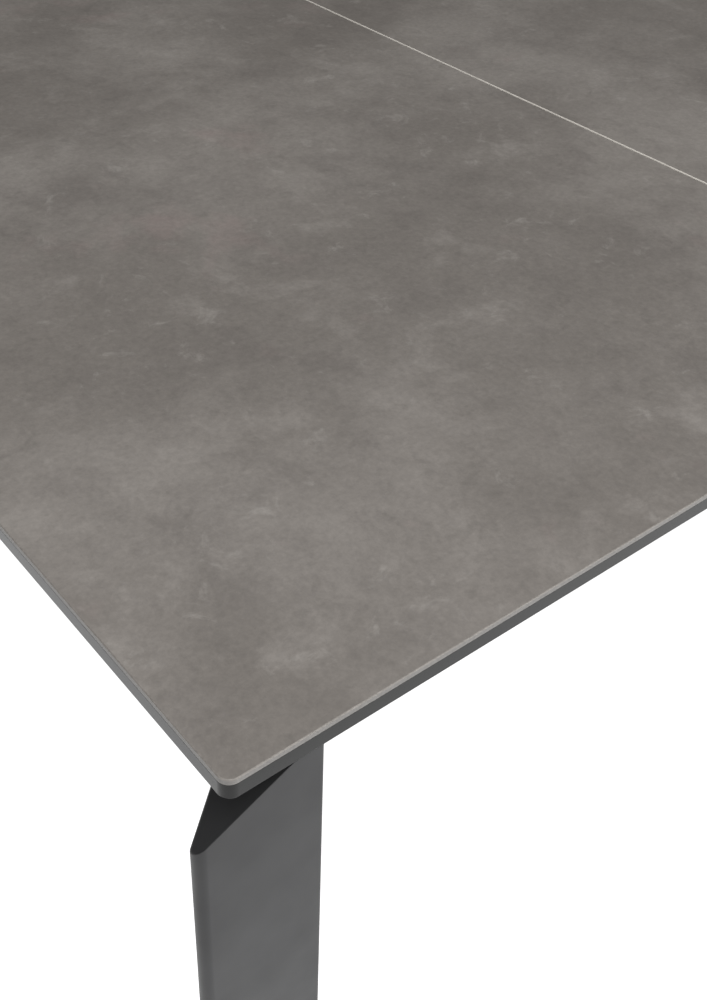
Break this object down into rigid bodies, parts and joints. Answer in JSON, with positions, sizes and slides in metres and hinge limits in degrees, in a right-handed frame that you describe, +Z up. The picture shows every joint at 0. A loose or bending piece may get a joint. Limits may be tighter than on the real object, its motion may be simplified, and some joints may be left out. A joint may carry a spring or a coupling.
{
  "type": "extendable dining table",
  "caption": "Rectangular dining table whose ceramic-on-glass top parts in the middle and slides open on a steel frame with oblique-cut triangular legs.",
  "frame": {"origin": "middle of the closed table on the floor", "axes": "+X along the table towards the end where the leaf is drawn out, +Y across it, +Z up"},
  "size_m": [1.126, 0.85, 0.75],
  "materials": {
    "ceramic": "matt grey-brown concrete-look ceramic sheet with soft smoky clouding",
    "back_glass": "dark grey back-painted toughened glass, satin ground edge, opaque",
    "leg_coat": "anthracite grey matt powder coat",
    "foot_nylon": "black nylon",
    "frame_coat": "dark grey powder coat",
    "channel_aluminium": "natural anodised extrusion",
    "zinc_screw": "bright zinc plate",
    "white_nylon": "natural nylon",
    "slide_steel": "zinc-plated cold-drawn steel",
    "felt": "pressed wool felt"
  },
  "bodies": {
    "frame": {"leg_front_left": "leg_coat", "leg_front_right": "leg_coat", "leg_rear_left": "leg_coat", "leg_rear_right": "leg_coat", "cap_front_left": "leg_coat", "cap_front_right": "leg_coat", "cap_rear_left": "leg_coat", "cap_rear_right": "leg_coat", "foot_front_left": "foot_nylon", "foot_front_right": "foot_nylon", "foot_rear_left": "foot_nylon", "foot_rear_right": "foot_nylon", "leg_stubs": "frame_coat", "side_rail_front": "frame_coat", "side_rail_rear": "frame_coat", "end_rail_left": "frame_coat", "end_rail_right": "frame_coat", "corner_gussets": "frame_coat", "frame_screws": "zinc_screw", "channel_front": "channel_aluminium", "channel_rear": "channel_aluminium", "channel_screws": "zinc_screw", "mouth_shoes": "white_nylon", "travel_stops": "foot_nylon", "sync_bridge": "frame_coat", "bridge_screws": "zinc_screw", "rack_guides": "white_nylon", "pinion_axle": "zinc_screw", "pinion_clip": "zinc_screw", "leaf_runner_front": "frame_coat", "leaf_runner_rear": "frame_coat", "runner_screws": "zinc_screw", "leaf_felts": "felt"},
    "right_top": {"ceramic_right": "ceramic", "glass_right": "back_glass", "sliders_right": "slide_steel", "shoes_right": "white_nylon", "pads_right": "slide_steel", "pad_screws_right": "zinc_screw", "rack_right": "white_nylon", "tongues_right": "slide_steel", "centring_pins": "slide_steel", "latch_keeper": "slide_steel"},
    "left_top": {"ceramic_left": "ceramic", "glass_left": "back_glass", "sliders_left": "slide_steel", "shoes_left": "white_nylon", "pads_left": "slide_steel", "pad_screws_left": "zinc_screw", "rack_left": "white_nylon", "tongues_left": "slide_steel", "pin_sockets": "foot_nylon", "latch_base": "slide_steel"},
    "leaf": {"leaf_ceramic": "ceramic", "leaf_glass": "back_glass"},
    "pinion": {"pinion": "white_nylon"},
    "latch": {"latch_hook": "slide_steel"}
  },
  "joints": [
    {"name": "right_top_slide", "type": "slide", "parent": "frame", "child": "right_top", "axis": [1, 0, 0], "range_m": [0, 0.225]},
    {"name": "left_top_slide", "type": "slide", "parent": "frame", "child": "left_top", "axis": [-1, 0, 0], "range_m": [0, 0.225]},
    {"name": "pinion_spin", "type": "hinge", "parent": "frame", "child": "pinion", "pos_m": [0, 0, 0.729], "axis": [0, 0, 1], "range_deg": [-956, 1]},
    {"name": "leaf_slide", "type": "slide", "parent": "frame", "child": "leaf", "axis": [1, 0, 0], "range_m": [0, 0.82]},
    {"name": "latch_swing", "type": "hinge", "parent": "left_top", "child": "latch", "pos_m": [-0.038, -0.215, 0.732], "axis": [0, 0, 1], "range_deg": [-35, 0]}
  ],
  "couplings": [
    {"joint": "left_top_slide", "follows": "right_top_slide", "ratio": 1},
    {"joint": "pinion_spin", "follows": "right_top_slide", "rad_per_m": -74.074}
  ]
}
